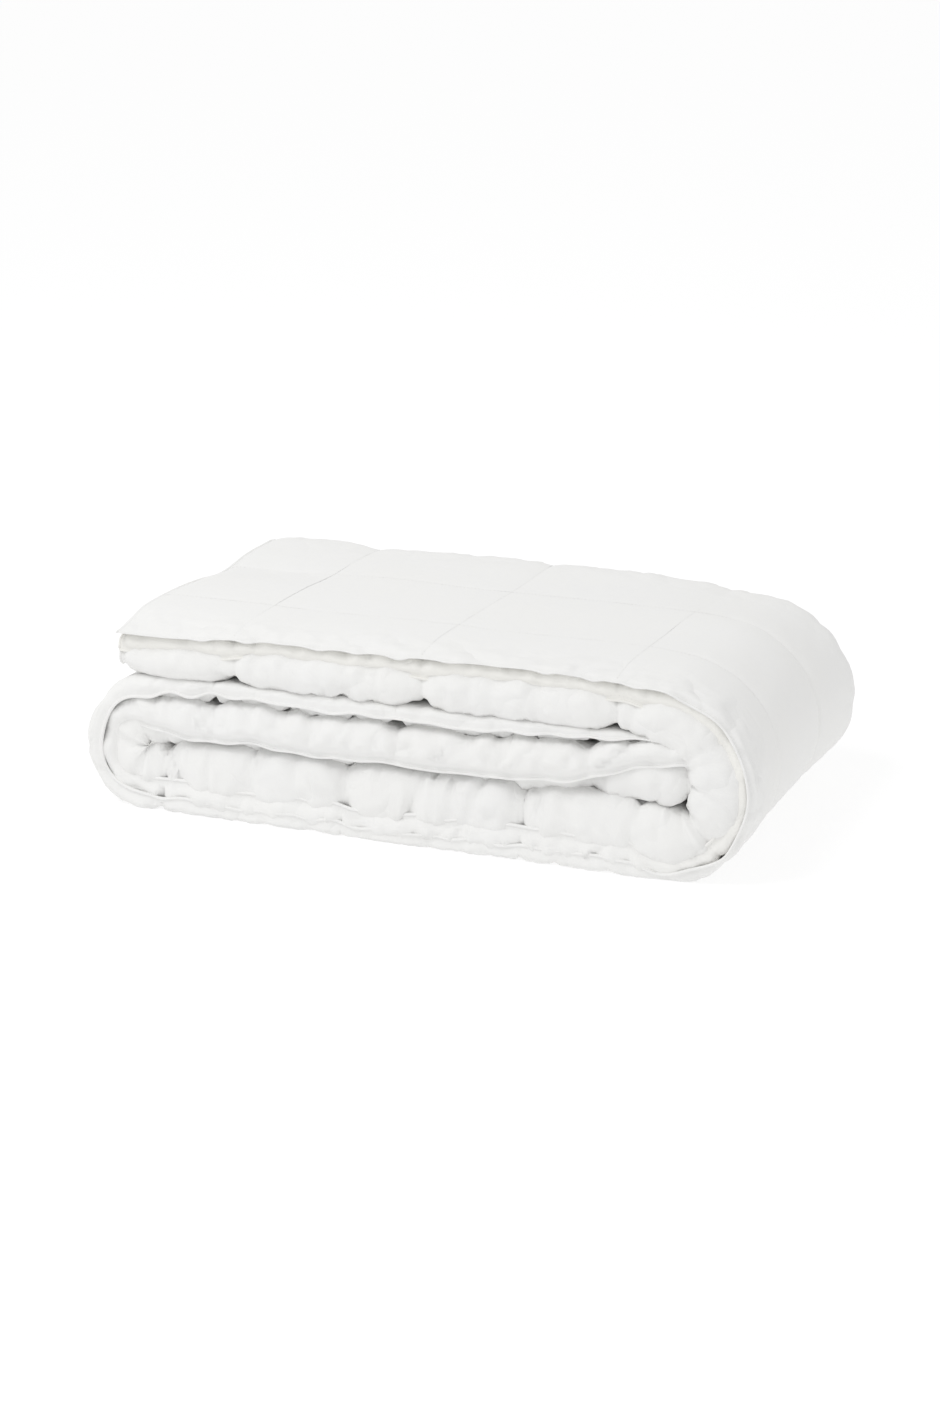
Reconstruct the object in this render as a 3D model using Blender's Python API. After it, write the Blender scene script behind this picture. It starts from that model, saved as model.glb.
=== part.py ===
"""A white duvet, folded in four along its length and then rolled up in three passes.

Each piece is cut flat in (u, v, w): u runs across the duvet's width, v along its length, and w
through its thickness, above zero on the face side. fold() then takes every piece to its place in
the packet, so that neighbours stay parallel in each fold. Metres, +Z up, +Y to the back.
"""

import math

import bmesh
import bpy

# The duvet laid flat
DUVET_WIDTH = 1.500
DUVET_LENGTH = 2.000
BORDER = 0.100  # from an edge to the first wall
ROW_COUNT = 11  # rows of filling along the length, the two border rows included

# Through the thickness
CLOTH = 0.0008
FILL_HALF = 0.0060  # half of the filling's thickness, away from the edges
WALL = 0.0008  # a wall between two rows
CLEARANCE = 0.0003  # between two pieces that touch
PLY_GAP = 0.0008  # between two plies that lie on each other

# The edges
SEAM = 0.006  # where the two cloths lie flat on each other
TAPER = 0.040  # from an edge to full thickness
FILL_EDGE = 0.013  # from an edge to the filling
PIPING_RADIUS = 0.0020
PIPING_SIDES = 8

# The roll
LOOP_HOLLOW = 0.008  # left open inside the loop at the left
PASS_GAP = 0.002  # between the middle pass and the top pass
FREE_END_SETBACK = 0.031  # from the left end of the packet to the duvet's outer end
INNER_END_CLEARANCE = 0.013  # from the duvet's inner end to the loop around it

# Facets of each half turn. The two folds at the back are nested, so they share theirs.
BACK_FOLD_FACETS = 6
FRONT_FOLD_FACETS = 4
RIGHT_LOOP_FACETS = 8
LEFT_LOOP_FACETS = 6

PLY_HALF = FILL_HALF + CLEARANCE + CLOTH
PLY_PITCH = 2 * PLY_HALF + PLY_GAP
STRIP = 3 * PLY_PITCH + 2 * PLY_HALF  # four plies
EDGE_BAND = CLEARANCE + 2 * PIPING_RADIUS  # the piping beyond the cloth's edge
HEIGHT = 3 * STRIP + LOOP_HOLLOW + PASS_GAP
RIGHT_RADIUS = HEIGHT / 2
LEFT_RADIUS = STRIP + LOOP_HOLLOW / 2
OUTER_FOLD = 1.5 * PLY_PITCH
INNER_FOLD = 0.5 * PLY_PITCH


def inner_end_reach():
    """How far the inner end lies past the right loop's centre, inside the round of that loop."""
    top_ply = 2 * STRIP + LOOP_HOLLOW - PLY_HALF - RIGHT_RADIUS
    room = math.sqrt((RIGHT_RADIUS - STRIP) ** 2 - (top_ply + PIPING_RADIUS) ** 2)
    return room - INNER_END_CLEARANCE


def turn_length(radius, facets):
    """The length of a half turn of flat facets around a circle."""
    return 2 * facets * radius * math.tan(math.pi / (2 * facets))


def packet_depth():
    """The depth at which four plies and their folds use up the duvet's width."""
    folds = turn_length(OUTER_FOLD, BACK_FOLD_FACETS)
    folds += turn_length(INNER_FOLD, BACK_FOLD_FACETS)
    folds += turn_length(INNER_FOLD, FRONT_FOLD_FACETS)
    edge_plies = OUTER_FOLD + PLY_HALF + EDGE_BAND
    fold_plies = OUTER_FOLD + INNER_FOLD + 2 * PLY_HALF
    return (DUVET_WIDTH + 2 * edge_plies + 2 * fold_plies - folds) / 4


def packet_width():
    """The width at which three passes and their loops use up the duvet's length."""
    loops = turn_length(RIGHT_RADIUS - STRIP / 2, RIGHT_LOOP_FACETS)
    loops += turn_length(LEFT_RADIUS - STRIP / 2, LEFT_LOOP_FACETS)
    taken = FREE_END_SETBACK + 2 * EDGE_BAND + 3 * RIGHT_RADIUS + 2 * LEFT_RADIUS
    return (DUVET_LENGTH + taken - inner_end_reach() - loops) / 3


DEPTH = packet_depth()
WIDTH = packet_width()


class BentLine:
    """A line of straight runs and faceted half turns, and the lines that are parallel to it."""

    def __init__(self, start, heading):
        self.points = [start]
        self.lengths = [0.0]
        self.headings = []
        self.heading = heading
        self.pending = 0.0

    def run(self, length):
        self.pending += length

    def half_turn(self, radius, facets, side):
        """Turns through 180 degrees, to the left where side is 1 and to the right where it is -1."""
        half_facet = radius * math.tan(math.pi / (2 * facets))
        for _ in range(facets):
            self.pending += half_facet
            self.corner()
            self.heading += side * math.pi / facets
            self.pending += half_facet

    def corner(self):
        x, y = self.points[-1]
        step = (self.pending * math.cos(self.heading), self.pending * math.sin(self.heading))
        self.points.append((x + step[0], y + step[1]))
        self.lengths.append(self.lengths[-1] + self.pending)
        self.headings.append(self.heading)
        self.pending = 0.0

    def finish(self):
        self.corner()
        return self

    def offset_corner(self, index, offset):
        """A corner of the parallel line that lies offset to the left."""
        before = self.headings[max(index - 1, 0)]
        after = self.headings[min(index, len(self.headings) - 1)]
        middle = (before + after) / 2 + math.pi / 2
        reach = offset / math.cos((after - before) / 2)
        x, y = self.points[index]
        return x + reach * math.cos(middle), y + reach * math.sin(middle)

    def at(self, length, offset):
        """The point at this length along the line, moved by offset to its left."""
        last = len(self.headings) - 1
        index = sum(1 for bend in self.lengths[1:-1] if bend <= length)
        index = min(index, last)
        start = self.offset_corner(index, offset)
        end = self.offset_corner(index + 1, offset)
        share = (length - self.lengths[index]) / (self.lengths[index + 1] - self.lengths[index])
        return tuple(a + share * (b - a) for a, b in zip(start, end))


def quarter_fold():
    """The duvet's middle surface across its width, in (y, distance below the packet's skin)."""
    edge_run = DEPTH - OUTER_FOLD - PLY_HALF - EDGE_BAND
    fold_run = DEPTH - OUTER_FOLD - INNER_FOLD - 2 * PLY_HALF
    line = BentLine((-DEPTH / 2 + EDGE_BAND, PLY_HALF), 0.0)
    line.run(edge_run)
    line.half_turn(OUTER_FOLD, BACK_FOLD_FACETS, 1)
    line.run(fold_run)
    line.half_turn(INNER_FOLD, FRONT_FOLD_FACETS, 1)
    line.run(fold_run)
    line.half_turn(INNER_FOLD, BACK_FOLD_FACETS, -1)
    line.run(edge_run)
    return line.finish()


def three_passes():
    """The middle of the folded strip along the duvet's length, in (x, z)."""
    line = BentLine((-WIDTH / 2 + FREE_END_SETBACK + EDGE_BAND, HEIGHT - STRIP / 2), 0.0)
    line.run(WIDTH - FREE_END_SETBACK - EDGE_BAND - RIGHT_RADIUS)
    line.half_turn(RIGHT_RADIUS - STRIP / 2, RIGHT_LOOP_FACETS, -1)
    line.run(WIDTH - RIGHT_RADIUS - LEFT_RADIUS)
    line.half_turn(LEFT_RADIUS - STRIP / 2, LEFT_LOOP_FACETS, -1)
    line.run(WIDTH - LEFT_RADIUS - RIGHT_RADIUS + inner_end_reach() - EDGE_BAND)
    return line.finish()


ACROSS = quarter_fold()
ALONG = three_passes()


def fold(u, v, w):
    y, below_skin = ACROSS.at(u, -w)
    x, z = ALONG.at(v, STRIP / 2 - below_skin)
    return x, y, z


def edge_distances(u, v):
    return min(u, DUVET_WIDTH - u), min(v, DUVET_LENGTH - v)


def cloth_inside(u, v):
    """Half of the room between the two cloths, which closes towards the edges."""
    share = (min(edge_distances(u, v)) - SEAM) / (TAPER - SEAM)
    share = min(max(share, 0.0), 1.0)
    return CLEARANCE / 2 + (FILL_HALF + CLEARANCE / 2) * share


def cloth_outside(u, v):
    return cloth_inside(u, v) + CLOTH


def fill_surface(u, v):
    return cloth_inside(u, v) - CLEARANCE


def cuts(low, high, line, length):
    """The places between low and high where a piece bends, with its two ends."""
    bends = line.lengths[1:-1] + [SEAM, TAPER, length - TAPER, length - SEAM]
    return [low] + sorted(bend for bend in bends if low < bend < high) + [high]


def cotton(name, colour, roughness):
    """A matt textile finish."""
    material = bpy.data.materials.new(name)
    material.use_nodes = True
    shader = material.node_tree.nodes["Principled BSDF"]
    shader.inputs["Base Color"].default_value = (*colour, 1.0)
    shader.inputs["Roughness"].default_value = roughness
    shader.inputs["Metallic"].default_value = 0.0
    return material


def finish_piece(bm, name, material):
    """Folds a flat piece and adds it to the scene. The fold mirrors it, so its faces are reversed."""
    bmesh.ops.recalc_face_normals(bm, faces=bm.faces)
    for vert in bm.verts:
        vert.co = fold(*vert.co)
    bmesh.ops.reverse_faces(bm, faces=bm.faces)
    mesh = bpy.data.meshes.new(name)
    bm.to_mesh(mesh)
    bm.free()
    mesh.materials.append(material)
    bpy.context.scene.collection.objects.link(bpy.data.objects.new(name, mesh))


def split_hips(bm):
    """Cuts each corner face of the pattern along the diagonal where its two tapers meet."""
    for face in list(bm.faces):
        ends = []
        for vert in face.verts:
            from_side, from_end = edge_distances(vert.co.x, vert.co.y)
            if abs(from_side - from_end) < CLEARANCE / 10 and from_side < TAPER + CLEARANCE:
                ends.append(vert)
        if len(ends) == 2:
            bmesh.ops.connect_verts(bm, verts=ends)


def slab(name, u_span, v_span, low, high, material):
    """A flat piece between two surfaces, low(u, v) and high(u, v), folded into place."""
    u_cuts = cuts(*u_span, ACROSS, DUVET_WIDTH)
    v_cuts = cuts(*v_span, ALONG, DUVET_LENGTH)
    bm = bmesh.new()
    columns = len(u_cuts) - 1
    rows = len(v_cuts) - 1
    bmesh.ops.create_grid(bm, x_segments=columns, y_segments=rows, size=0.5)
    for vert in bm.verts:
        column = round((vert.co.x + 0.5) * columns)
        row = round((vert.co.y + 0.5) * rows)
        vert.co = (u_cuts[column], v_cuts[row], 0.0)
    split_hips(bm)
    lower = list(bm.verts)
    raised = bmesh.ops.extrude_face_region(bm, geom=list(bm.faces))["geom"]
    for vert in lower:
        vert.co.z = low(vert.co.x, vert.co.y)
    for vert in raised:
        if isinstance(vert, bmesh.types.BMVert):
            vert.co.z = high(vert.co.x, vert.co.y)
    finish_piece(bm, name, material)


def casing():
    """The two panels of cloth that the duvet's skin is sewn from."""
    whole = ((0.0, DUVET_WIDTH), (0.0, DUVET_LENGTH))
    white = cotton("face_cotton", (0.90, 0.895, 0.88), 0.85)
    slab("casing_face", *whole, cloth_inside, cloth_outside, white)
    plain = cotton("back_cotton", (0.89, 0.885, 0.865), 0.88)
    slab("casing_back", *whole, lambda u, v: -cloth_outside(u, v), lambda u, v: -cloth_inside(u, v), plain)


def row_seams():
    """The walls between the rows of filling, as lengths along the duvet."""
    pitch = (DUVET_LENGTH - 2 * BORDER) / (ROW_COUNT - 2)
    return [BORDER + pitch * number for number in range(ROW_COUNT - 1)]


def filling():
    """One row of loose filling between each two walls."""
    loose = cotton("loose_fill", (0.93, 0.92, 0.90), 0.95)
    reach = WALL / 2 + CLEARANCE
    starts = [FILL_EDGE] + [seam + reach for seam in row_seams()]
    ends = [seam - reach for seam in row_seams()] + [DUVET_LENGTH - FILL_EDGE]
    across = (FILL_EDGE, DUVET_WIDTH - FILL_EDGE)
    for number, span in enumerate(zip(starts, ends), 1):
        name = f"fill_row_{number:02d}"
        slab(name, across, span, lambda u, v: -fill_surface(u, v), fill_surface, loose)


def walls():
    """The woven tapes that stand between the two cloths and keep the rows apart."""
    tape = cotton("wall_tape", (0.88, 0.875, 0.86), 0.90)
    across = (FILL_EDGE, DUVET_WIDTH - FILL_EDGE)
    for number, seam in enumerate(row_seams(), 1):
        name = f"cross_wall_{number:02d}"
        span = (seam - WALL / 2, seam + WALL / 2)
        slab(name, across, span, lambda u, v: -fill_surface(u, v), fill_surface, tape)


def piping(name, span, line, length, place, material):
    """A round cord along one edge; place(across, along, w) gives its points in the flat pattern."""
    stations = cuts(*span, line, length)
    bm = bmesh.new()
    bmesh.ops.create_circle(bm, radius=PIPING_RADIUS, segments=PIPING_SIDES)
    ring = list(bm.edges)
    for before, station in zip(stations, stations[1:]):
        raised = bmesh.ops.extrude_edge_only(bm, edges=ring)["geom"]
        ring = [item for item in raised if isinstance(item, bmesh.types.BMEdge)]
        moved = [item for item in raised if isinstance(item, bmesh.types.BMVert)]
        bmesh.ops.translate(bm, verts=moved, vec=(0.0, 0.0, station - before))
    bmesh.ops.holes_fill(bm, edges=bm.edges)
    bmesh.ops.translate(bm, verts=bm.verts, vec=(0.0, 0.0, stations[0]))
    for vert in bm.verts:
        vert.co = place(vert.co.x, vert.co.z, vert.co.y)
    finish_piece(bm, name, material)


def edge_pipings():
    """The piping that closes the four edges, named by where it shows in the packet."""
    cord = cotton("piping_cotton", (0.91, 0.905, 0.89), 0.80)
    beyond = CLEARANCE + PIPING_RADIUS
    side_run = (-EDGE_BAND, DUVET_LENGTH + EDGE_BAND)
    end_run = (0.0, DUVET_WIDTH)
    piping("side_piping_outer", side_run, ALONG, DUVET_LENGTH, lambda a, s, w: (a - beyond, s, w), cord)
    far_side = DUVET_WIDTH + beyond
    piping("side_piping_inner", side_run, ALONG, DUVET_LENGTH, lambda a, s, w: (a + far_side, s, w), cord)
    piping("end_piping_top", end_run, ACROSS, DUVET_WIDTH, lambda a, s, w: (s, a - beyond, w), cord)
    far_end = DUVET_LENGTH + beyond
    piping("end_piping_inside", end_run, ACROSS, DUVET_WIDTH, lambda a, s, w: (s, a + far_end, w), cord)


def main():
    for item in list(bpy.data.objects):
        bpy.data.objects.remove(item, do_unlink=True)
    casing()
    filling()
    walls()
    edge_pipings()


main()
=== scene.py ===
"""Builds a quilted white duvet as it lies folded: four plies across, rolled up in three passes.

The cloth is shaped flat, in (u, v, w): u across the duvet's width, v along its length and w through
its thickness, above zero on the face side. Packet.place() then folds any piece into the packet.
"""

import math
import bmesh
import bpy
import numpy as np
from bpy.props import FloatProperty, FloatVectorProperty, IntProperty, PointerProperty
from bpy.types import Operator, Panel, PropertyGroup
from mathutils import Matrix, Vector


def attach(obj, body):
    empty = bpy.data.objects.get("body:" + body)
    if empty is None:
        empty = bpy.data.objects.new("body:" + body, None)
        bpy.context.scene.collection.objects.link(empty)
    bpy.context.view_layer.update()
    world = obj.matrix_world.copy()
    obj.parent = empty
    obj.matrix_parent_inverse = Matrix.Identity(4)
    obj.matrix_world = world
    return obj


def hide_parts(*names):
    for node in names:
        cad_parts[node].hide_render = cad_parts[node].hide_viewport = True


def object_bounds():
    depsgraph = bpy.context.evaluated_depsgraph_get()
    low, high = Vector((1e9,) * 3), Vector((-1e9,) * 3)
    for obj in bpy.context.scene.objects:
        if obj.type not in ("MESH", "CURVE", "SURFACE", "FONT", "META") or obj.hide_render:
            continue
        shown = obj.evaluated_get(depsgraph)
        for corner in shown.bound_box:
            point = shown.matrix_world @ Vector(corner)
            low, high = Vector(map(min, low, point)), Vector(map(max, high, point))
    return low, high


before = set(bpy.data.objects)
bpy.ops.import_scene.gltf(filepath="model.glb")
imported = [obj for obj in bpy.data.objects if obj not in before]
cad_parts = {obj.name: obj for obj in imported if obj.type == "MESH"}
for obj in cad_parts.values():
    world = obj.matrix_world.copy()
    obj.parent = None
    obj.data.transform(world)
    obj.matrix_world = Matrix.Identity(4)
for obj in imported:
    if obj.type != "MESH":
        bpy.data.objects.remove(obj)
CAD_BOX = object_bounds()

bl_info = {
    "name": "Folded Duvet",
    "version": (1, 0, 0),
    "blender": (4, 5, 0),
    "location": "View3D > Sidebar > Duvet",
    "description": "Builds a quilted white duvet, folded and rolled into a packet",
    "category": "Add Mesh",
}


def length(name, description, default):
    return FloatProperty(
        name=name, description=description, default=default, subtype="DISTANCE", unit="LENGTH"
    )


def colour(name, description, default):
    return FloatVectorProperty(
        name=name, description=description, default=default, size=3, subtype="COLOR"
    )


class DuvetSize(PropertyGroup):
    """The duvet's own sizes, laid flat, and how it is folded"""

    width: length("Width", "Across the duvet, laid flat", 1.500)
    length: length("Length", "Along the duvet, laid flat", 2.000)
    border: length("Border", "From an edge to the first seam", 0.100)
    columns: IntProperty(name="Columns", description="Pockets across the width", default=11)
    rows: IntProperty(name="Rows", description="Pockets along the length", default=11)
    pitch: length("Ply pitch", "From one folded ply to the next", 0.0150)
    half: length("Half a ply", "From the middle of a ply to its skin", 0.0071)
    hollow: length("Loop hollow", "Left open inside the left loop", 0.008)
    setback: length("Free end setback", "From the packet's left end to the duvet's outer end", 0.031)
    reach: length("Inner end reach", "How far the inner end lies past the right loop's centre", 0.030)
    band: length("Edge band", "The piping beyond the cloth's edge", 0.0043)
    piping: length("Piping radius", "Radius of the cord in the edge piping", 0.0017)
    seam_half: length("Seam half", "From the middle of a ply to its cloth at a seam", 0.0018)


class DuvetColours(PropertyGroup):
    """The duvet's colours"""

    cotton: colour("Cotton", "The casing's cloth", (0.833, 0.833, 0.828))
    warm: colour("Warm cotton", "The cloth's warmer patches", (0.833, 0.829, 0.812))
    # Painted shade: a warmer tint for the inner ply's hem band, standing in for the warm shade that band
    # lies in under the outer ply.
    inner: colour("Inner hem", "The cloth at the hem of the inner ply", (0.833, 0.822, 0.780))
    thread: colour("Thread", "The stitching", (0.82, 0.815, 0.80))
    filling: colour("Filling", "The loose filling", (0.76, 0.75, 0.73))
    tape: colour("Tape", "The walls between the rows", (0.72, 0.715, 0.70))
    floor: colour("Floor", "The studio floor", (0.42, 0.42, 0.42))


def size():
    return bpy.context.scene.duvet_size


def colours():
    return bpy.context.scene.duvet_colours


# ---------------------------------------------------------------- the fold


def ramp(low, high, x):
    """0 below low, 1 above high, and a smooth step between."""
    share = np.clip((x - low) / (high - low), 0.0, 1.0)
    return share * share * (3.0 - 2.0 * share)


class BentLine:
    """A smooth line of straight runs and round turns."""

    def __init__(self, start, heading, pieces):
        points, headings = [start], [heading]
        for run, turn in pieces:
            points.append(self.step(points[-1], headings[-1], run, turn, run))
            headings.append(headings[-1] + turn)
        self.points = np.array(points)
        self.headings = np.array(headings)
        self.runs = np.array([run for run, _ in pieces])
        self.turns = np.array([turn for _, turn in pieces])
        self.starts = np.concatenate([[0.0], np.cumsum(self.runs)])

    @staticmethod
    def step(point, heading, run, turn, along):
        if turn == 0.0:
            return (point[0] + along * math.cos(heading), point[1] + along * math.sin(heading))
        radius = run / turn
        end = heading + along / radius
        across = (math.sin(end) - math.sin(heading)) * radius
        return (point[0] + across, point[1] + (math.cos(heading) - math.cos(end)) * radius)

    def at(self, s):
        """Both coordinates and the heading at each length along the line."""
        piece = np.clip(np.searchsorted(self.starts, s, side="right") - 1, 0, len(self.runs) - 1)
        along = s - self.starts[piece]
        turn = self.turns[piece]
        first = self.headings[piece]
        bend = np.where(turn == 0.0, 1e-6, turn) / self.runs[piece]
        heading = first + bend * along
        a = self.points[piece, 0] + (np.sin(heading) - np.sin(first)) / bend
        b = self.points[piece, 1] + (np.cos(first) - np.cos(heading)) / bend
        return a, b, heading


class Curl:
    """How the cloth's edge turns down: it bends over a short turn, then hangs straight."""

    FULL_TURN = math.radians(80)
    TURN = 0.016

    def __init__(self):
        self.travel = np.linspace(0.0, 0.12, 481)
        self.angle = self.FULL_TURN * ramp(0.0, self.TURN, self.travel)
        step = self.travel[1]
        self.down = np.cumsum(np.sin(self.angle)) * step
        self.back = self.travel - np.cumsum(np.cos(self.angle)) * step

    def strip(self, drop):
        """The length of cloth that turns down, for the hem to hang this far below its ply."""
        return np.maximum(np.interp(drop, self.down, self.travel), self.TURN)

    def at(self, from_edge, strip, amount):
        """(move back from the edge, move down, angle) at a distance from the edge."""
        travel = np.clip(strip - from_edge, 0.0, strip)
        beyond = np.clip(-from_edge, 0.0, None)
        angle = np.interp(travel, self.travel, self.angle)
        back = np.interp(travel, self.travel, self.back) + beyond * (1.0 - np.cos(angle))
        down = np.interp(travel, self.travel, self.down) + beyond * np.sin(angle)
        return back * amount, down * amount, angle * amount


class Lay:
    """How the plies lie at the front along one stretch of the roll, counted in ply pitches.

    skin and inner are the depths of the outer skin and the inner side below the regular packet's
    skin, first and second the thicknesses of the two outer plies, hems the depths of their hems,
    and backs how far those plies and the fold stand back. blend is half the change to this stretch.
    The values are round ones, near where the photograph shows the plies.
    """

    def __init__(self, skin, first, second, inner, hems, backs, blend=0.06):
        self.values = (skin, skin + first, skin + first + second, inner, *hems, *backs)
        self.blend = blend


FREE_END = Lay(skin=0.2, first=0.3, second=0.6, inner=3.2, hems=(0.4, 1.6), backs=(0.0, 0.3, 0.2))
TOP_PASS = Lay(
    skin=-0.5, first=0.3, second=0.6, inner=3.2,
    hems=(-0.3, 1.0), backs=(0.0, 0.3, 0.2), blend=0.15,
)
RIGHT_LOOP = Lay(skin=-0.2, first=0.4, second=0.5, inner=4.1, hems=(0.2, 1.4), backs=(0.0, 0.3, 0.1))
LOW_PASS = Lay(skin=0.0, first=0.5, second=0.6, inner=5.0, hems=(0.9, 2.0), backs=(0.0, 0.2, 0.3))
LEFT_LOOP = Lay(
    skin=-0.2, first=0.7, second=0.6, inner=4.3,
    hems=(0.8, 2.2), backs=(0.0, 0.5, 0.5), blend=0.12,
)
MID_PASS = Lay(skin=-1.8, first=2.4, second=0.5, inner=3.9, hems=(-0.1, 3.0), backs=(0.0, 0.0, 0.9))
INNER_END = Lay(skin=-1.4, first=0.9, second=0.6, inner=3.7, hems=(-0.8, 0.8), backs=(0.2, 0.1, 0.4))


class Packet:
    """Where each point of the flat duvet lies in the folded packet."""

    UNEVEN = 0.12  # of a ply pitch, along the front
    HEM_WAVE = 0.0014
    DRAWN_OUT = 0.030  # the first rows, along the roll
    SLUMP = 0.014  # at the right back corner
    DOME = 0.014  # over the filling, behind the front
    FREE_BULGE = 0.007  # above the regular packet, before a bulge is held down
    HELD_BULGE = 0.008  # the most that is added beyond that
    NEAR_FLOOR = 0.002

    def __init__(self, sizes):
        low, high = (np.array(corner) for corner in CAD_BOX)
        self.width, self.depth, self.height = high - low
        self.flat_width, self.flat_length = sizes.width, sizes.length
        self.pitch, self.half = sizes.pitch, sizes.half
        self.strip = 3 * sizes.pitch + 2 * sizes.half
        self.right = self.height / 2
        self.left = self.strip + sizes.hollow / 2
        outer_fold, inner_fold = 1.5 * sizes.pitch, 0.5 * sizes.pitch
        edge_run = self.depth - outer_fold - sizes.half - sizes.band
        fold_run = self.depth - outer_fold - inner_fold - 2 * sizes.half
        self.front = -self.depth / 2
        half_turn = math.pi
        self.across = BentLine(
            (self.front + sizes.band, sizes.half),
            0.0,
            [
                (edge_run, 0.0),
                (half_turn * outer_fold, half_turn),
                (fold_run, 0.0),
                (half_turn * inner_fold, half_turn),
                (fold_run, 0.0),
                (half_turn * inner_fold, -half_turn),
                (edge_run, 0.0),
            ],
        )
        middle = self.strip / 2
        self.start_x = -self.width / 2 + sizes.setback + sizes.band
        self.right_x = self.width / 2 - self.right
        self.left_x = -self.width / 2 + self.left
        self.along = BentLine(
            (self.start_x, self.height - middle),
            0.0,
            [
                (self.right_x - self.start_x, 0.0),
                (half_turn * (self.right - middle), -half_turn),
                (self.right_x - self.left_x, 0.0),
                (half_turn * (self.left - middle), -half_turn),
                (self.right_x + sizes.reach - self.left_x, 0.0),
            ],
        )
        self.stretch_u = self.across.starts[-1] / sizes.width
        self.stretch_v = self.along.starts[-1] / sizes.length
        self.curl = Curl()

    def front_at(self, s):
        """Each value of the lay at lengths along the roll, in metres."""
        starts = self.along.starts
        changes = (
            (0.12, TOP_PASS),
            (starts[1], RIGHT_LOOP),
            (starts[2], LOW_PASS),
            (starts[3], LEFT_LOOP),
            (starts[4], MID_PASS),
            (starts[5] - 0.08, INNER_END),
        )
        columns = [np.full_like(s, value) for value in FREE_END.values]
        for place, lay in changes:
            share = ramp(place - lay.blend, place + lay.blend, s)
            columns = [old + share * (new - old) for old, new in zip(columns, lay.values)]
        uneven = self.UNEVEN * waves(s, 0.0 * s, 0.22, 61)
        for number in (0, 1, 2, 4, 5):
            columns[number] = columns[number] + uneven
        return [self.pitch * column for column in columns]

    def squeeze(self, levels, y, t):
        """Moves each ply at the front to where it lies in the packet, fading out to the back."""
        regular = [0.0, self.pitch, 2 * self.pitch, self.strip]
        inside = np.clip(t, 0.0, self.strip)
        moved = np.zeros_like(t)
        for low, high, start, end in zip(regular, regular[1:], levels, levels[1:]):
            share = (inside - low) / (high - low)
            within = (inside >= low) & (inside <= high)
            moved = np.where(within, start + share * (end - start), moved)
        moved += t - inside
        weight = 1.0 - ramp(self.front + 0.015, self.front + 0.19, y)
        return t + weight * (moved - t)

    def place(self, u, v, w):
        """Folds points of the flat duvet into the packet."""
        s = self.lie(v)
        y0, t0, heading = self.across.at(u * self.stretch_u)
        columns = self.front_at(s)
        levels = columns[:4]
        y = y0 + w * np.sin(heading)
        t = self.squeeze(levels, y, t0 - w * np.cos(heading))
        back_1, back_2, back_fold = columns[6:]
        for edge, side, middle, hem in (
            (u, 1.0, (levels[0] + levels[1]) / 2, columns[4]),
            (self.flat_width - u, -1.0, (levels[1] + levels[2]) / 2, columns[5]),
        ):
            hem = hem + self.HEM_WAVE * waves(s, side * s, 0.060, 23)
            drop = np.clip(hem - middle, 0.0, None)
            strip = self.curl.strip(drop)
            least = np.interp(self.curl.TURN, self.curl.travel, self.curl.down)
            amount = np.clip(drop / least, 0.0, 1.0)
            whole_back, _, _ = self.curl.at(0.0 * edge, strip, amount)
            back, down, angle = self.curl.at(edge, strip, amount)
            y_flat = y0 - whole_back * (1.0 - ramp(0.0, 0.33, edge))
            turned = ramp(0.0, 0.5, angle)
            t_mid = self.squeeze(levels, y0, t0)
            y_bent = y_flat + back - side * w * np.sin(angle)
            t_bent = t_mid + down - side * w * np.cos(angle)
            y_plain = y_flat + w * np.sin(heading)
            near = edge < 0.34
            y = np.where(near, y_plain + turned * (y_bent - y_plain), y)
            t = np.where(near, t + turned * (t_bent - t), t)
        y = y + self.stand_back(u, back_1, back_2, back_fold)
        t = self.held_down(t - self.dome(s, u, y))
        y = y + self.splay(y, t, s)
        a, b, heading = self.along.at(s)
        out = self.strip / 2 - t
        x, z = a - out * np.sin(heading), b + out * np.cos(heading)
        return np.stack([x, y, self.on_floor(z - self.slump(x, y, z))], axis=-1)

    def on_floor(self, z):
        """Flattens what rests on the floor, so that nothing sinks through it."""
        near = self.NEAR_FLOOR
        return np.where(z < near, near * np.exp((np.minimum(z, near) - near) / near), z)

    def slump(self, x, y, z):
        """How far the packet sinks at its right end towards the back."""
        return self.SLUMP * ramp(0.0, 0.19, y) * ramp(0.10, 0.34, x) * z / self.height

    def held_down(self, t):
        """Keeps the highest bulges within 15 mm of the regular packet."""
        free, most = self.FREE_BULGE, self.HELD_BULGE
        over = np.clip(-free - t, 0.0, None)
        return np.where(over > 0.0, -free - most * (1.0 - np.exp(-over / most)), t)

    def lie(self, v):
        """How far along the roll the cloth lies: its first rows are drawn out a little."""
        drawn = self.DRAWN_OUT * ramp(0.0, 0.12, v) * (1.0 - ramp(0.55, 1.15, v))
        return v * self.stretch_v + drawn

    def stand_back(self, u, back_1, back_2, back_fold):
        """How far the two outer plies and the fold stand back from the front."""
        first = 1.0 - ramp(0.03, 0.20, u)
        second = ramp(self.flat_width - 0.20, self.flat_width - 0.03, u)
        fold = 1.0 - ramp(0.03, 0.15, np.abs(u - self.flat_width / 2))
        return first * back_1 + second * back_2 + fold * back_fold

    def splay(self, y, t, s):
        """The lowest plies spread a little to the front, and the folds bulge to the back."""
        along = self.along.starts
        begun = ramp(along[1] + 0.12, along[2] + 0.02, s)
        low = begun * (1.0 - ramp(along[3] - 0.02, along[3] + 0.08, s))
        front = 1.0 - ramp(self.front, self.front + 0.12, y)
        return 0.009 * ramp(0.02, 0.19, y) - 0.008 * low * front * (1.0 - ramp(0.0, 0.05, t))

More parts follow.
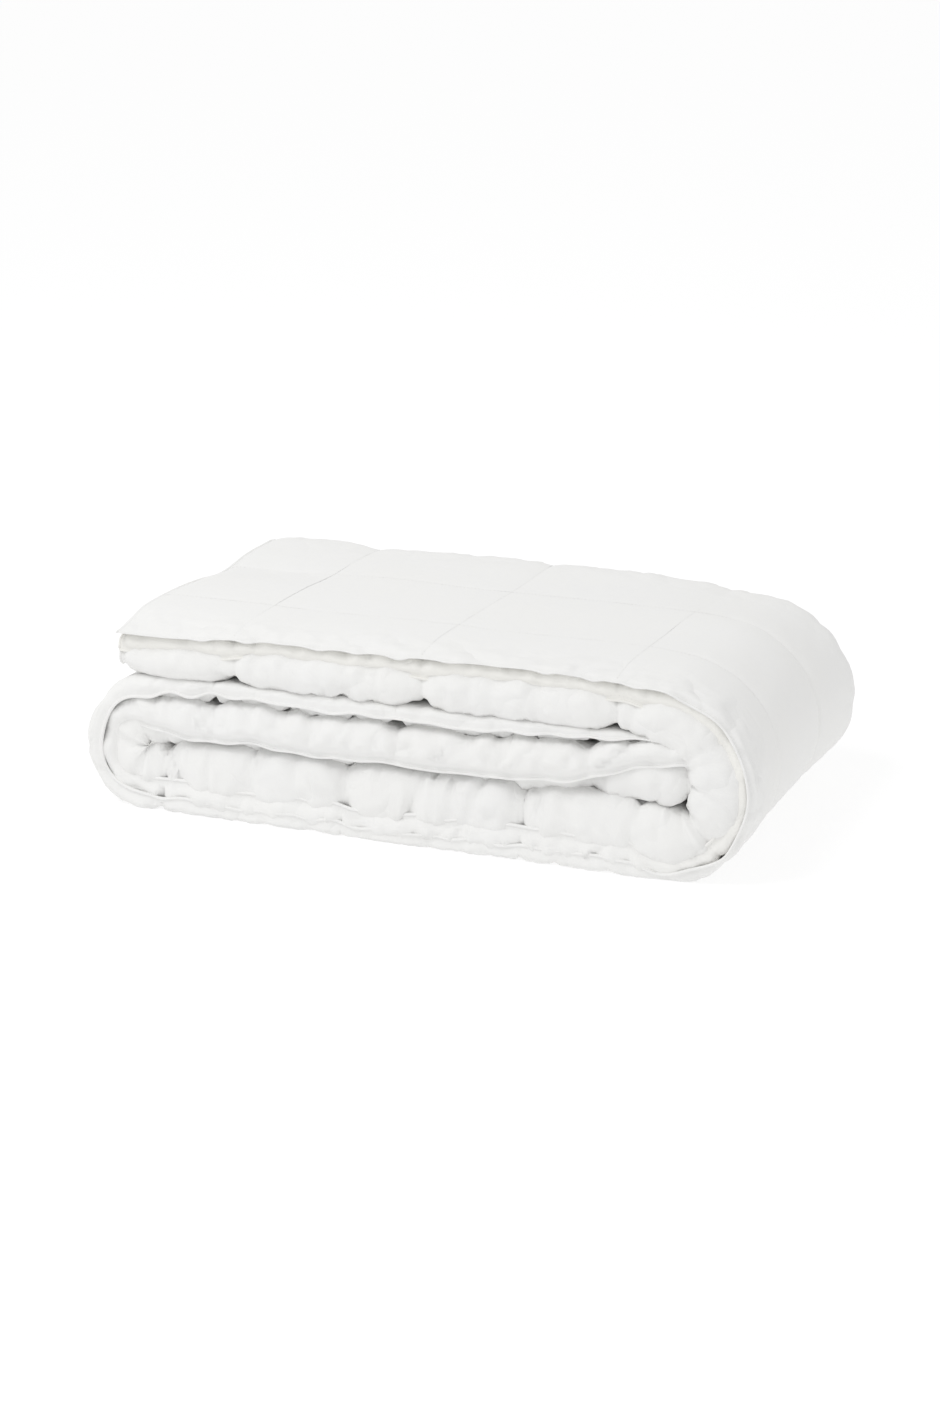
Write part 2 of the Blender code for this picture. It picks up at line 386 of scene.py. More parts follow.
    def dome(self, s, u, y):
        """How far the outer plies bulge over the filling behind the front."""
        along = self.along.starts
        top = 1.0 - ramp(along[1] - 0.04, along[1] + 0.10, s)
        behind = ramp(self.front, self.front + 0.07, y)
        left = 1.0 - ramp(0.05, 0.22, s)
        dip = np.exp(-(((y - 0.05) / 0.045) ** 2))
        outer = 1.0 - ramp(0.38, 0.46, u)
        inner = 0.35 * ramp(0.38, 0.46, u)
        broad = 1.0 + 0.16 * waves(s, y, 0.17, 9)
        return self.DOME * top * behind * broad * (1.0 - 0.55 * left * dip) * (outer + inner)


# ---------------------------------------------------------------- the quilting


def seam_lines(whole, border, pockets):
    """The seams that divide a side of the duvet into pockets, with its two edges."""
    step = (whole - 2 * border) / (pockets - 2)
    return np.array([0.0] + [border + step * number for number in range(pockets - 1)] + [whole])


def to_nearest(values, lines):
    """The distance from each value to the nearest line."""
    lines = np.asarray(lines)
    right = np.clip(np.searchsorted(lines, values), 1, len(lines) - 1)
    return np.minimum(np.abs(values - lines[right - 1]), np.abs(lines[right] - values))


def waves(u, v, wavelength, seed, count=7):
    """A smooth random surface between about -1 and 1, of waves near one wavelength."""
    chance = np.random.default_rng(seed)
    total = np.zeros_like(u)
    for _ in range(count):
        angle = chance.uniform(0, math.tau)
        rate = math.tau / (wavelength * chance.uniform(0.7, 1.4))
        phase = chance.uniform(0, math.tau)
        total += np.sin((u * math.cos(angle) + v * math.sin(angle)) * rate + phase)
    return total / math.sqrt(count)


class Patch:
    """A sewn patch of the duvet, blown up: its border pockets and a few of the inner ones."""

    ACROSS, ALONG = 4, 3
    STEP = 0.005
    FRAMES = 18  # of cloth simulation

    def __init__(self, border, across, along):
        self.border, self.size = border, (across, along)
        self.u_seams = [0.0] + [border + across * number for number in range(self.ACROSS + 1)]
        self.v_seams = [0.0] + [border + along * number for number in range(self.ALONG + 1)]
        self.u_cuts, self.v_cuts = self.cuts(self.u_seams), self.cuts(self.v_seams)
        self.height = self.blown_up()
        self.broad = self.blurred(self.height, 5)
        self.detail = self.height - self.broad

    def cuts(self, seams):
        return spaced([(a, b, self.STEP) for a, b in zip(seams, seams[1:])])

    def blown_up(self):
        """Fills the pockets by cloth simulation, with the seams held down."""
        mesh = made_mesh(grid_mesh(self.u_cuts, self.v_cuts), "patch")
        u, v, _ = cut_coordinates(mesh, self.u_cuts, self.v_cuts)
        sewn = np.minimum(to_nearest(u, self.u_seams), to_nearest(v, self.v_seams)) < 1e-4
        ripple = 0.0008 * np.random.default_rng(5).random(len(u))
        set_coordinates(mesh, np.stack([u, v, np.where(sewn, 0.0, ripple)], axis=-1))
        patch = bpy.data.objects.new("patch", mesh)
        bpy.context.scene.collection.objects.link(patch)
        held = patch.vertex_groups.new(name="held")
        held.add([int(number) for number in np.flatnonzero(sewn)], 1.0, "REPLACE")
        cloth = patch.modifiers.new("cloth", "CLOTH")
        self.cotton_settings(cloth.settings)
        cloth.collision_settings.use_collision = False
        for number in range(1, self.FRAMES + 1):
            bpy.context.scene.frame_set(number)
        shape = patch.evaluated_get(bpy.context.evaluated_depsgraph_get()).to_mesh()
        points = np.empty(len(shape.vertices) * 3, np.float32)
        shape.vertices.foreach_get("co", points)
        bpy.data.objects.remove(patch)
        bpy.context.scene.frame_set(1)
        return points.reshape(len(self.v_cuts), len(self.u_cuts), 3)[:, :, 2].astype(np.float64)

    @staticmethod
    def cotton_settings(settings):
        settings.quality = 4
        settings.mass = 0.15
        settings.air_damping = 2.0
        settings.tension_stiffness = 20.0
        settings.compression_stiffness = 20.0
        settings.shear_stiffness = 8.0
        settings.bending_stiffness = 0.5
        settings.vertex_group_mass = "held"
        settings.pin_stiffness = 1.0
        settings.use_pressure = True
        settings.uniform_pressure_force = 3.0
        settings.shrink_min = -0.05
        settings.effector_weights.gravity = 0.0

    @staticmethod
    def blurred(height, reach):
        """The heights with every wrinkle narrower than a few cuts smoothed away."""
        for axis in (0, 1):
            margins = [(reach, reach) if n == axis else (0, 0) for n in (0, 1)]
            padded = np.pad(height, margins, mode="edge")
            kernel = np.hanning(2 * reach + 3)[1:-1]
            kernel = kernel / kernel.sum()
            height = np.apply_along_axis(np.convolve, axis, padded, kernel, mode="valid")
        return height

    def at(self, height, u, v):
        """One of the patch's heights at places within it."""
        column = np.interp(u, self.u_cuts, np.arange(len(self.u_cuts)))
        row = np.interp(v, self.v_cuts, np.arange(len(self.v_cuts)))
        left = np.clip(column.astype(int), 0, len(self.u_cuts) - 2)
        below = np.clip(row.astype(int), 0, len(self.v_cuts) - 2)
        a, b = column - left, row - below
        near = height[below, left] * (1 - a) + height[below, left + 1] * a
        far = height[below + 1, left] * (1 - a) + height[below + 1, left + 1] * a
        return near * (1 - b) + far * b


class Quilt:
    """The relief of the casing over its pockets, laid flat."""

    def __init__(self, sizes):
        self.flat = (sizes.width, sizes.length)
        self.across = seam_lines(sizes.width, sizes.border, sizes.columns)
        self.along = seam_lines(sizes.length, sizes.border, sizes.rows)
        self.seam_half, self.half = sizes.seam_half, sizes.half
        pocket = (self.across[2] - self.across[1], self.along[2] - self.along[1])
        self.patch = Patch(sizes.border, *pocket)
        chance = np.random.default_rng(12)
        shape = (2, len(self.across), len(self.along))
        self.pick_across = chance.integers(0, Patch.ACROSS, shape)
        self.pick_along = chance.integers(0, Patch.ALONG, shape)
        self.turn_across = chance.integers(0, 2, shape)
        self.turn_along = chance.integers(0, 2, shape)

    def borrow(self, x, lines, pick, turn, size, border):
        """A place along one side of the patch that stands for a place along the duvet."""
        last = len(lines) - 2
        pocket = np.clip(np.searchsorted(lines, x, side="right") - 1, 0, last)
        inside = x - lines[pocket]
        inner = border + pick * size + np.where(turn == 1, size - inside, inside)
        return np.where(pocket == 0, x, np.where(pocket == last, lines[-1] - x, inner))

    def pillow(self, u, v, side):
        """How high the filling lifts the cloth above its seams, and the wrinkles on that."""
        column = np.clip(np.searchsorted(self.across, u, side="right") - 1, 0, len(self.across) - 2)
        row = np.clip(np.searchsorted(self.along, v, side="right") - 1, 0, len(self.along) - 2)
        cell = (0 if side > 0 else 1, column, row)
        patch = self.patch
        pick, turn = self.pick_across[cell], self.turn_across[cell]
        x = self.borrow(u, self.across, pick, turn, patch.size[0], patch.border)
        pick, turn = self.pick_along[cell], self.turn_along[cell]
        y = self.borrow(v, self.along, pick, turn, patch.size[1], patch.border)
        return np.clip(patch.at(patch.broad, x, y), 0.0, None), patch.at(patch.detail, x, y)

    def creases(self, u, v, middle, reach, count, lean, seed):
        """Short sharp creases that run across a fold or a hem, where the cloth is gathered."""
        chance = np.random.default_rng(seed)
        total = np.zeros_like(u)
        near = np.abs(u - middle) < 2.2 * reach
        a, b, found = u[near] - middle, v[near], 0.0
        for place in np.linspace(0.0, self.flat[1], count):
            place += chance.normal(0.0, 1.1 * self.flat[1] / count)
            slant, bend = chance.normal(0.0, lean), chance.normal(0.0, 15.0 * lean)
            centre, spread = chance.normal(0.0, 0.5 * reach), reach * chance.uniform(0.3, 0.9)
            deep, wide = chance.uniform(0.0014, 0.0050), chance.uniform(0.0034, 0.0068)
            off = b - place + slant * a + bend * a * a
            window = np.exp(-(((a - centre) / spread) ** 2))
            bank, dip = np.exp(-(((off - wide) / wide) ** 2)), np.exp(-((off / wide) ** 2))
            found = found + window * deep * (0.45 * bank - dip)
        total[near] = found
        return total

    def pressed(self, u):
        """1 where the outer ply is drawn flat over the packet, and 0 where the filling stands free."""
        return 1.0 - ramp(0.30, 0.40, u)

    def height(self, u, v, side):
        """The distance of a cloth from the middle of its ply."""
        edge = np.minimum(np.minimum(u, self.flat[0] - u), np.minimum(v, self.flat[1] - v))
        pillow, wrinkle = self.pillow(u, v, side)
        rim = np.minimum(u, self.flat[0] - u)
        loose = 1.0 - ramp(0.06, 0.12, np.abs(u - self.flat[0] / 2)) + 1.0 - ramp(0.02, 0.08, rim)
        pillow = pillow + 0.0048 * loose * np.exp(-pillow / 0.004)
        pillow = pillow + 0.010 * np.exp(-rim / 0.030) * (1.0 - np.exp(-to_nearest(v, self.along) / 0.008))
        free = self.seam_half + 0.0074 * (1.0 - np.exp(-pillow / 0.0062)) + 1.2 * wrinkle
        middle = self.flat[0] / 2
        free = free + self.creases(u, v, middle, 0.026, 96, 2.2, 31 + side)
        free = free + self.creases(u, v, 0.02, 0.020, 30, 0.7, 41 + side)
        free = free + self.creases(u, v, self.flat[0] - 0.02, 0.020, 34, 1.0, 51 + side)
        off = to_nearest(u, self.across[1:-1])
        drawn = 0.5 * np.exp(-off / 0.003) + 0.5 * np.exp(-off / 0.016)
        lengthwise = (0.035 + 0.80 * ramp(0.50, 0.60, v)) * drawn
        crosswise = 0.018 * np.exp(-to_nearest(v, self.along[1:-1]) / 0.010)
        flat = self.half * (1.0 - lengthwise - crosswise) + 0.30 * wrinkle
        border = 1.0 - ramp(0.02, 0.05, u)
        pressed = self.pressed(u) * (1.0 - border * (1.0 - 0.8 * (1.0 - ramp(0.5, 0.6, v))))
        full = np.maximum(free + (flat - free) * pressed, 0.0010)
        inside = np.clip(edge - 0.0035, 0.0, None)
        taper = 1.0 - np.exp(-inside / 0.0035)
        return 0.0007 + (full - 0.0007) * taper


# ---------------------------------------------------------------- materials


class Socket:
    """A shader value that Python's own operators work on."""

    def __init__(self, graph, socket):
        self.graph, self.socket = graph, socket

    def math(self, operation, *others):
        return self.graph.add("ShaderNodeMath", {"operation": operation}, self, *others)

    def __add__(self, other):
        return self.math("ADD", other)

    def __sub__(self, other):
        return self.math("SUBTRACT", other)

    def __mul__(self, other):
        return self.math("MULTIPLY", other)

    def __rsub__(self, other):
        return self.graph.add("ShaderNodeMath", {"operation": "SUBTRACT"}, other, self)

    __radd__ = __add__
    __rmul__ = __mul__


class Graph:
    """A material's node tree."""

    def __init__(self, name):
        self.material = bpy.data.materials.new(name)
        self.material.use_nodes = True
        self.tree = self.material.node_tree
        self.shader = self.tree.nodes["Principled BSDF"]

    def add(self, kind, settings=None, *values, output=0, **named):
        """Adds a node: its settings first, then its inputs by place or by name."""
        node = self.tree.nodes.new(kind)
        for key, value in (settings or {}).items():
            setattr(node, key, value)
        for key, value in list(enumerate(values)) + list(named.items()):
            key = key.replace("_", " ") if isinstance(key, str) else key
            self.put(node.inputs[key], value)
        return Socket(self, node.outputs[output])

    def put(self, target, value):
        if isinstance(value, Socket):
            self.tree.links.new(value.socket, target)
        elif value is not None:
            target.default_value = value

    def set(self, name, value):
        self.put(self.shader.inputs[name], value)

    def share(self, value, low, high):
        """0 where the value is at low, 1 where it is at high, and straight between."""
        return self.add("ShaderNodeMapRange", None, value, low, high, 0.0, 1.0)

    def noise(self, place, **inputs):
        return self.add("ShaderNodeTexNoise", {"normalize": True}, place, **inputs)

    def blend(self, factor, first, second):
        """A mix of two colours."""
        node = self.tree.nodes.new("ShaderNodeMix")
        node.data_type = "RGBA"
        self.put(node.inputs["Factor"], factor)
        self.put(node.inputs["A"], first)
        self.put(node.inputs["B"], second)
        return Socket(self, node.outputs["Result"])


def opaque(value):
    return (*value, 1.0)


def cotton(name, base, warm):
    """Plain woven cotton with fine threads both ways, with painted warm shade along the inner ply's hem.

    Its faint creases are stronger where the cloth isn't drawn flat over the packet.
    """
    graph = Graph(name)
    cloth = graph.add("ShaderNodeUVMap", {"uv_map": "Cloth"})
    threads = 2400.0
    split = graph.tree.nodes.new("ShaderNodeSeparateXYZ")
    graph.put(split.inputs[0], cloth)
    warp = (Socket(graph, split.outputs[0]) * threads).math("SINE")
    weft = (Socket(graph, split.outputs[1]) * threads).math("SINE")
    grain = warp * weft
    across = Socket(graph, split.outputs[0])
    inner = graph.share(across, 0.30, 0.42)
    hem = graph.share(across, 0.055, 0.015)
    loose = inner + hem
    place = graph.add("ShaderNodeTexCoord", None, output=3)
    creases = graph.noise(place, Scale=17.0, Detail=2.0, Roughness=0.5)
    sharp = (creases - 0.5).math("ABSOLUTE")
    crumple = graph.noise(place, Scale=90.0, Detail=3.0, Roughness=0.5)
    tone = graph.noise(cloth, Scale=9.0, Detail=2.0)
    # Painted warm shade: over the first 0.6 to 0.8 m of its length, the inner ply's hem band is tinted
    # towards the inner colour, because it lies in shade under the outer ply there.
    along = Socket(graph, split.outputs[1])
    edge = graph.share(across, 1.40, 1.48)
    painted_warm_shade = edge * graph.share(along, 0.80, 0.62)
    plain_tone = graph.blend(tone, opaque(base), opaque(warm))
    graph.set("Base Color", graph.blend(painted_warm_shade * 0.7, plain_tone, opaque(colours().inner)))
    relief = grain * 0.00003 + sharp * (loose * 0.0135 + 0.0010) + crumple * 0.0003
    bump = graph.add("ShaderNodeBump", None, Strength=1.0, Distance=1.0, Height=relief)
    graph.set("Normal", bump)
    graph.set("Roughness", tone * 0.06 + 0.82)
    graph.set("Specular IOR Level", 0.3)
    return graph.material


def plain(name, base, roughness):
    """A plain rough material with fine flecks."""
    graph = Graph(name)
    place = graph.add("ShaderNodeTexCoord", None, output=3)
    fleck = graph.noise(place, Scale=220.0, Detail=3.0)
    dark = tuple(0.93 * part for part in base)
    graph.set("Base Color", graph.blend(fleck, opaque(base), opaque(dark)))
    graph.set("Normal", graph.add("ShaderNodeBump", None, Strength=0.6, Distance=0.0006, Height=fleck))
    graph.set("Roughness", roughness)
    return graph.material


# ---------------------------------------------------------------- making pieces


def grid_mesh(u_cuts, v_cuts):
    """An even grid with a line for each of these cuts, as a bmesh."""
    bm = bmesh.new()
    columns, rows = len(u_cuts) - 1, len(v_cuts) - 1
    bmesh.ops.create_grid(bm, x_segments=columns, y_segments=rows, size=0.5)
    return bm


def made_mesh(bm, name):
    """A new mesh from a bmesh, which is freed."""
    mesh = bpy.data.meshes.new(name)
    bm.to_mesh(mesh)
    bm.free()
    return mesh


def cut_coordinates(mesh, u_cuts, v_cuts):
    """Each vertex's place in the flat pattern, and its height in the even grid."""
    flat = np.empty(len(mesh.vertices) * 3, np.float32)
    mesh.vertices.foreach_get("co", flat)
    flat = flat.reshape(-1, 3).astype(np.float64)
    column = np.rint((flat[:, 0] + 0.5) * (len(u_cuts) - 1)).astype(int)
    row = np.rint((flat[:, 1] + 0.5) * (len(v_cuts) - 1)).astype(int)
    return np.asarray(u_cuts)[column], np.asarray(v_cuts)[row], flat[:, 2]


def set_coordinates(mesh, points):
    mesh.vertices.foreach_set("co", points.astype(np.float32).ravel())
    mesh.update()


def add_cloth_map(mesh, u, v):
    """A UV map in metres of cloth, so that a pattern follows the weave."""
    layer = mesh.uv_layers.new(name="Cloth")
    corners = np.empty(len(mesh.loops), np.int32)
    mesh.loops.foreach_get("vertex_index", corners)
    places = np.stack([u[corners], v[corners]], axis=-1)
    layer.data.foreach_set("uv", places.astype(np.float32).ravel())


def finish_piece(mesh, name, material, nodes=()):
    """Adds a mesh to the scene as a piece, in place of these CAD nodes where it has any."""
    mesh.materials.append(material)
    mesh.shade_smooth()
    piece = bpy.data.objects.new(name, mesh)
    bpy.context.scene.collection.objects.link(piece)
    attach(piece, "root")
    if nodes:
        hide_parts(*nodes)
    return piece


def spaced(spans):
    """Cuts along a side, from (start, end, step) spans that follow on."""
    cuts = [np.linspace(a, b, max(2, round((b - a) / step) + 1))[:-1] for a, b, step in spans]
    return np.concatenate(cuts + [[spans[-1][1]]])


def face_columns(whole):
    """Columns of the face cloth: close together where the packet shows them."""
    half = whole / 2
    return spaced([
        (0.0, 0.060, 0.0025),
        (0.060, 0.092, 0.008),
        (0.092, 0.108, 0.002),
        (0.108, 0.236, 0.0105),
        (0.236, 0.252, 0.002),
        (0.252, 0.320, 0.010),
        (0.320, 0.430, 0.006),
        (0.430, half - 0.075, 0.040),
        (half - 0.075, half + 0.075, 0.003),
        (half + 0.075, 1.45 * half, 0.045),
        (1.45 * half, 1.55 * half, 0.006),
        (1.55 * half, whole - 0.075, 0.045),
        (whole - 0.075, whole, 0.003),
    ])


def get_quilt():
    """The quilting, worked out once for every piece."""
    if not hasattr(get_quilt, "made"):
        get_quilt.made = Quilt(size())
    return get_quilt.made


def flip(mesh):
    mesh.flip_normals()
    mesh.update()


def build_cloth(name, side, quilt, u_cuts, v_cuts, material, nodes):
    """One cloth of the casing, folded: side is 1 for the face and -1 for the back."""
    packet = Packet(size())
    mesh = made_mesh(grid_mesh(u_cuts, v_cuts), name)
    u, v, _ = cut_coordinates(mesh, u_cuts, v_cuts)
    w = side * quilt.height(u, v, side)
    set_coordinates(mesh, packet.place(u, v, w))
    add_cloth_map(mesh, u, v)
    if side > 0:
        flip(mesh)
    cloth = finish_piece(mesh, name, material, nodes)
    return cloth


class DUVET_OT_casing(Operator):
    """Sew the two cloths of the casing and fold them"""

    bl_idname = "duvet.casing"
    bl_label = "Casing"

    def execute(self, context):
        sizes, tones, quilt = size(), colours(), get_quilt()
        rows = np.linspace(0.0, sizes.length, 521)
        face = cotton("face_cotton", tones.cotton, tones.warm)
        columns = face_columns(sizes.width)
        build_cloth("casing_face_cloth", 1, quilt, columns, rows, face, ["casing_face"])
        back = cotton("back_cotton", tones.cotton, tones.warm)
        build_cloth("casing_back_cloth", -1, quilt, columns, rows, back, ["casing_back"])
        return {"FINISHED"}


class DUVET_OT_filling(Operator):
    """Lay the loose filling in each row of pockets"""

    bl_idname = "duvet.filling"
    bl_label = "Filling"

    SHARE = 0.45  # of its ply's thickness: more would come through the casing at the back fold

    def execute(self, context):
        sizes, quilt, packet = size(), get_quilt(), Packet(size())
        fibre = plain("loose_fill", colours().filling, 0.95)
        inset = 0.010
        columns = np.clip(face_columns(sizes.width)[::2], inset, sizes.width - inset)
        columns = np.unique(columns)
        for number, (start, end) in enumerate(zip(quilt.along, quilt.along[1:]), 1):
            rows = np.linspace(max(start + 0.002, inset), min(end - 0.002, sizes.length - inset), 14)
            name = "filling_row_%02d" % number
            mesh = self.body(name, columns, rows, quilt, packet)
            row = finish_piece(mesh, name, fibre, ["fill_row_%02d" % number])
        return {"FINISHED"}

    def body(self, name, columns, rows, quilt, packet):
        """A closed body: two sheets of one grid, joined around the rim."""
        bm = grid_mesh(columns, rows)
        made = bmesh.ops.extrude_face_region(bm, geom=list(bm.faces), use_keep_orig=True)
        lifted = [item for item in made["geom"] if isinstance(item, bmesh.types.BMVert)]
        bmesh.ops.translate(bm, verts=lifted, vec=(0.0, 0.0, 1.0))
        bmesh.ops.recalc_face_normals(bm, faces=list(bm.faces))
        mesh = made_mesh(bm, name)
        u, v, layer = cut_coordinates(mesh, columns, rows)
        side = np.where(layer > 0.5, 1.0, -1.0)
        full = np.minimum(quilt.height(u, v, 1), quilt.height(u, v, -1))
        set_coordinates(mesh, packet.place(u, v, side * self.SHARE * full))
        add_cloth_map(mesh, u, v)
        flip(mesh)
        return mesh


class DUVET_OT_walls(Operator):
    """Sew the wall tapes between the rows, each with a turned edge on either cloth"""

    bl_idname = "duvet.walls"
    bl_label = "Walls"

    def execute(self, context):
        sizes, quilt, packet = size(), get_quilt(), Packet(size())
        cloth = plain("wall_tape", colours().tape, 0.9)
        columns = face_columns(sizes.width)[::2]
        columns = np.unique(np.clip(columns, 0.012, sizes.width - 0.012))
        turned, tall = 0.004, sizes.seam_half - 0.0003
        section = np.array([[turned, tall], [0.0, tall], [0.0, -tall], [turned, -tall]])
        cuts = np.arange(len(section), dtype=float)
        for number, seam in enumerate(quilt.along[1:-1], 1):
            name = "wall_tape_%02d" % number
            mesh = made_mesh(grid_mesh(columns, cuts), name)
            u, place, _ = cut_coordinates(mesh, columns, cuts)
            bend = section[place.astype(int)]
            set_coordinates(mesh, packet.place(u, seam + bend[:, 0], bend[:, 1]))
            add_cloth_map(mesh, u, seam + bend[:, 0])
            tape = finish_piece(mesh, name, cloth, ["cross_wall_%02d" % number])
            flat = (columns[-1] - columns[0], 2 * (turned + tall))
        return {"FINISHED"}


def tube_along(name, u, v, w, radius, sides, packet):
    """A round cord whose middle follows these flat places."""
    stations, turns = np.arange(len(u), dtype=float), np.arange(sides + 1, dtype=float)
    mesh = made_mesh(grid_mesh(turns, stations), name)
    turn, station, _ = cut_coordinates(mesh, turns, stations)
    at = station.astype(int)
    along_u, along_v = np.gradient(u), np.gradient(v)
    reach = np.hypot(along_u, along_v)
    angle = turn * math.tau / sides
    out_u = -along_v[at] / reach[at] * np.cos(angle) * radius
    out_v = along_u[at] / reach[at] * np.cos(angle) * radius
    points = packet.place(u[at] + out_u, v[at] + out_v, w[at] + np.sin(angle) * radius)
    set_coordinates(mesh, points)
    add_cloth_map(mesh, u[at] + out_u, v[at] + out_v)
    bm = bmesh.new()
    bm.from_mesh(mesh)
    bmesh.ops.remove_doubles(bm, verts=list(bm.verts), dist=1e-7)
    bmesh.ops.holes_fill(bm, edges=[edge for edge in bm.edges if edge.is_boundary], sides=sides)
    bmesh.ops.recalc_face_normals(bm, faces=list(bm.faces))
    bm.to_mesh(mesh)
    bm.free()
    return mesh


class DUVET_OT_piping(Operator):
    """Sew the corded piping into the four edges"""

    bl_idname = "duvet.piping"
    bl_label = "Piping"

    SIDES = 8

    def execute(self, context):
        sizes, tones, packet = size(), colours(), Packet(size())
        cloth = cotton("piping_cotton", tones.cotton, tones.warm)
        whole_u, whole_v, outside = sizes.width, sizes.length, 0.0010
        v = np.linspace(-outside, whole_v + outside, 560)
        u = spaced([
            (0.0, 0.36, 0.01),
            (0.36, 0.42, 0.003),
            (0.42, 0.70, 0.01),
            (0.70, 0.80, 0.002),
            (0.80, whole_u, 0.005),
        ])
        edges = (
            ("piping_side_outer", "side_piping_outer", np.full_like(v, -outside), v),
            ("piping_side_inner", "side_piping_inner", np.full_like(v, whole_u + outside), v),
            ("piping_end_top", "end_piping_top", u, np.full_like(u, -outside)),
            ("piping_end_inside", "end_piping_inside", u, np.full_like(u, whole_v + outside)),
        )
        for name, node, along_u, along_v in edges:
            level = 0 * along_u
            mesh = tube_along(name, along_u, along_v, level, sizes.piping, self.SIDES, packet)
            finish_piece(mesh, name, cloth, [node])
        return {"FINISHED"}


def thread_line(u, v, side, quilt, packet, name):
    """A sewn thread: each stitch rises from the cloth and dips back into it."""
    stitch, rise, radius, sides = 0.0042, 0.00035, 0.00028, 4
    travel = np.concatenate([[0.0], np.cumsum(np.hypot(np.diff(u), np.diff(v)))])
    lift = rise * np.cos(travel * math.tau / stitch)
    w = side * (quilt.height(u, v, side) + 0.00005 + lift)
    return tube_along(name, u, v, w, radius, sides, packet)


class DUVET_OT_stitching(Operator):
    """Sew the quilting seams and the hems"""

    bl_idname = "duvet.stitching"
    bl_label = "Stitching"

    def execute(self, context):
        sizes, quilt, packet = size(), get_quilt(), Packet(size())
        thread = plain("thread", colours().thread, 0.6)
        step, hem = 0.0014, 0.0034
        along = np.arange(hem, sizes.length - hem, step)
        across = np.arange(hem, sizes.width - hem, step)
        outer = np.arange(hem, 0.42, step)
        seams = [(np.full_like(along, line), along, 1) for line in quilt.across[1:4]]
        seams += [(outer, np.full_like(outer, line), 1) for line in quilt.along[1:-1]]
        hems = []
        for side in (1, -1):
            hems += [(np.full_like(along, line), along, side) for line in (hem, sizes.width - hem)]
            hems += [(across, np.full_like(across, line), side) for line in (hem, sizes.length - hem)]
        self.sew("quilting_thread", seams, thread, quilt, packet)
        self.sew("hem_thread", hems, thread, quilt, packet)
        return {"FINISHED"}

    def sew(self, name, lines, thread, quilt, packet):
        bm = bmesh.new()
        for u, v, side in lines:
            line = thread_line(u, v, side, quilt, packet, name + "_line")
            bm.from_mesh(line)
            bpy.data.meshes.remove(line)
        finish_piece(made_mesh(bm, name), name, thread)


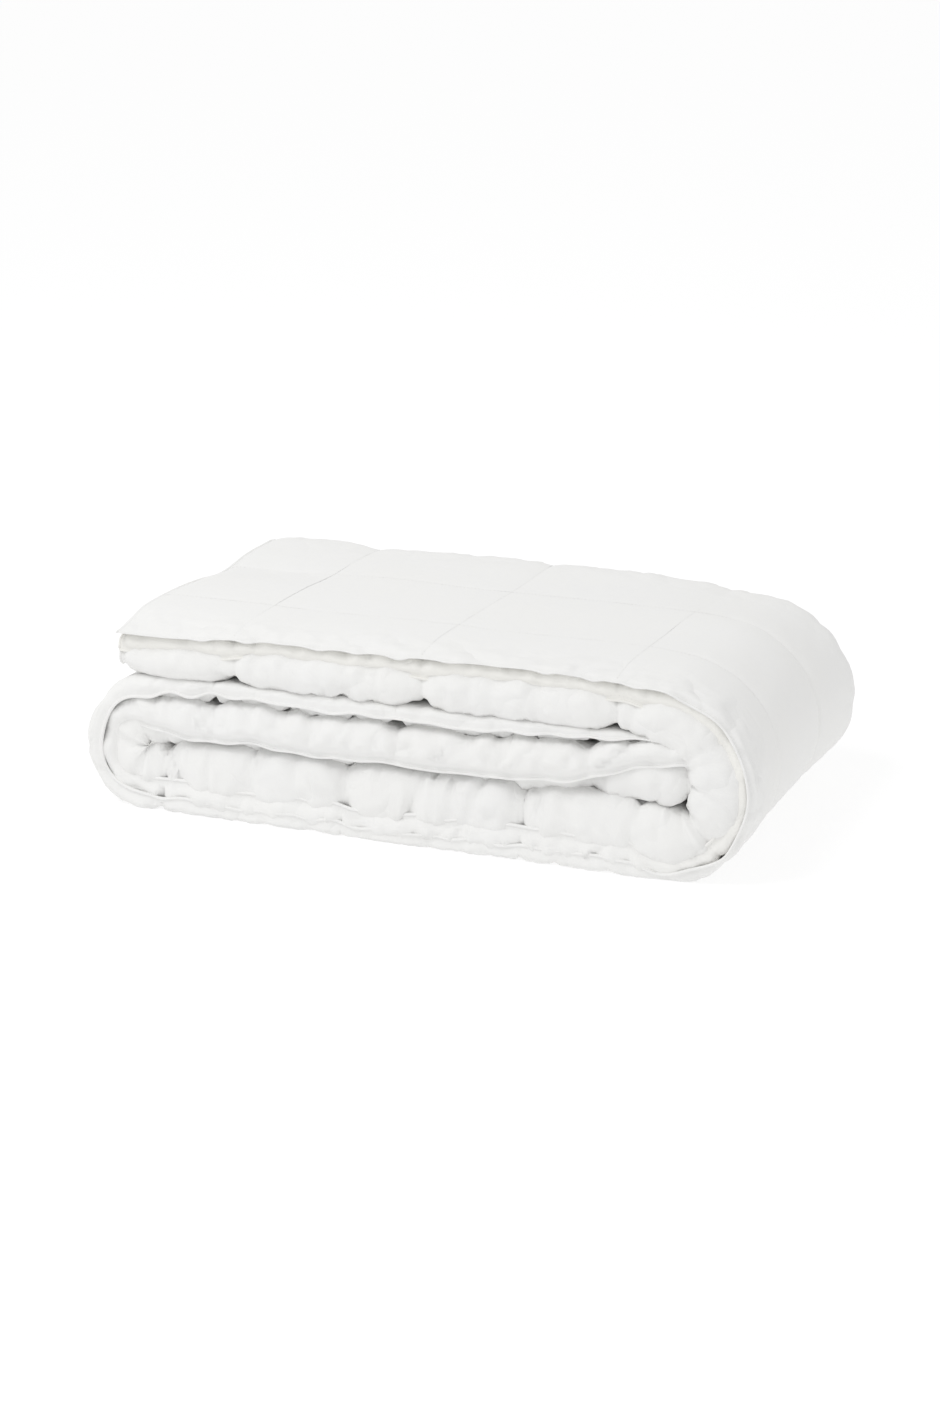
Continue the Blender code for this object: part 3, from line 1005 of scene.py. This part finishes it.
class DUVET_OT_stage(Operator):
    """Set up the floor, the soft light and the camera"""

    bl_idname = "duvet.stage"
    bl_label = "Stage"

    FLOOR_HALF = 40.0
    FLOOR_GLOW = 0.64
    SKY = 0.81
    KEY_PLACE, KEY_ACROSS, KEY_POWER = (-1.0, -1.3, 2.7), 1.4, 26.0
    AIM = (0, 0, 0.1)
    # The photograph's viewpoint, from a camera fitted to it, with the height then set.
    CAMERA_PLACE = (1.1290, -2.7790, 1.0265)
    CAMERA_YAW, CAMERA_PITCH = math.radians(22.28), math.radians(17.42)
    CAMERA_LENS, SENSOR = 76.67, 36.0

    def execute(self, context):
        self.floor()
        self.light()
        self.camera()
        return {"FINISHED"}

    def floor(self):
        bm = bmesh.new()
        bmesh.ops.create_grid(bm, x_segments=1, y_segments=1, size=self.FLOOR_HALF)
        mesh = made_mesh(bm, "floor")
        mesh.materials.append(self.floor_paint())
        ground = bpy.data.objects.new("floor", mesh)
        bpy.context.scene.collection.objects.link(ground)

    def floor_paint(self):
        graph = Graph("floor_paint")
        graph.set("Base Color", opaque(colours().floor))
        graph.set("Roughness", 0.9)
        graph.set("Specular IOR Level", 0.0)
        graph.set("Emission Color", (1.0, 1.0, 1.0, 1.0))
        graph.set("Emission Strength", self.FLOOR_GLOW)
        return graph.material

    def light(self):
        scene = bpy.context.scene
        scene.view_settings.view_transform = "Standard"
        world = bpy.data.worlds.new("studio")
        scene.world = world
        world.use_nodes = True
        sky = world.node_tree.nodes["Background"]
        sky.inputs["Color"].default_value = (1.0, 1.0, 1.0, 1.0)
        sky.inputs["Strength"].default_value = self.SKY
        self.lamp("key", self.KEY_PLACE, self.KEY_ACROSS, self.KEY_POWER)

    def lamp(self, name, place, across, power):
        light = bpy.data.lights.new(name, "AREA")
        light.size = across
        light.energy = power
        lamp = bpy.data.objects.new(name, light)
        bpy.context.scene.collection.objects.link(lamp)
        lamp.location = place
        sight = Vector(self.AIM) - lamp.location
        lamp.rotation_euler = sight.to_track_quat("-Z", "Y").to_euler()

    def camera(self):
        data = bpy.data.cameras.new("camera")
        data.sensor_fit = "VERTICAL"
        data.sensor_height = self.SENSOR
        data.lens = self.CAMERA_LENS
        camera = bpy.data.objects.new("camera", data)
        bpy.context.scene.collection.objects.link(camera)
        camera.location = self.CAMERA_PLACE
        camera.rotation_euler = (math.pi / 2 - self.CAMERA_PITCH, 0.0, self.CAMERA_YAW)
        bpy.context.scene.camera = camera


class DUVET_PT_panel(Panel):
    """The duvet's sizes, colours and steps"""

    bl_idname = "DUVET_PT_panel"
    bl_label = "Folded duvet"
    bl_space_type = "VIEW_3D"
    bl_region_type = "UI"
    bl_category = "Duvet"

    def draw(self, context):
        for group in (size(), colours()):
            box = self.layout.box()
            for name in group.bl_rna.properties.keys():
                if name not in ("rna_type", "name"):
                    box.prop(group, name)
        for step in STEPS:
            self.layout.operator(step.bl_idname)


STEPS = (
    DUVET_OT_casing,
    DUVET_OT_filling,
    DUVET_OT_walls,
    DUVET_OT_piping,
    DUVET_OT_stitching,
    DUVET_OT_stage,
)
CLASSES = (DuvetSize, DuvetColours, *STEPS, DUVET_PT_panel)


def register():
    for item in CLASSES:
        bpy.utils.register_class(item)
    bpy.types.Scene.duvet_size = PointerProperty(type=DuvetSize)
    bpy.types.Scene.duvet_colours = PointerProperty(type=DuvetColours)


def unregister():
    del bpy.types.Scene.duvet_size
    del bpy.types.Scene.duvet_colours
    for item in reversed(CLASSES):
        bpy.utils.unregister_class(item)


def main():
    register()
    bpy.ops.duvet.casing()
    bpy.ops.duvet.filling()
    bpy.ops.duvet.walls()
    bpy.ops.duvet.piping()
    bpy.ops.duvet.stitching()
    bpy.ops.duvet.stage()


if __name__ == "__main__":
    main()
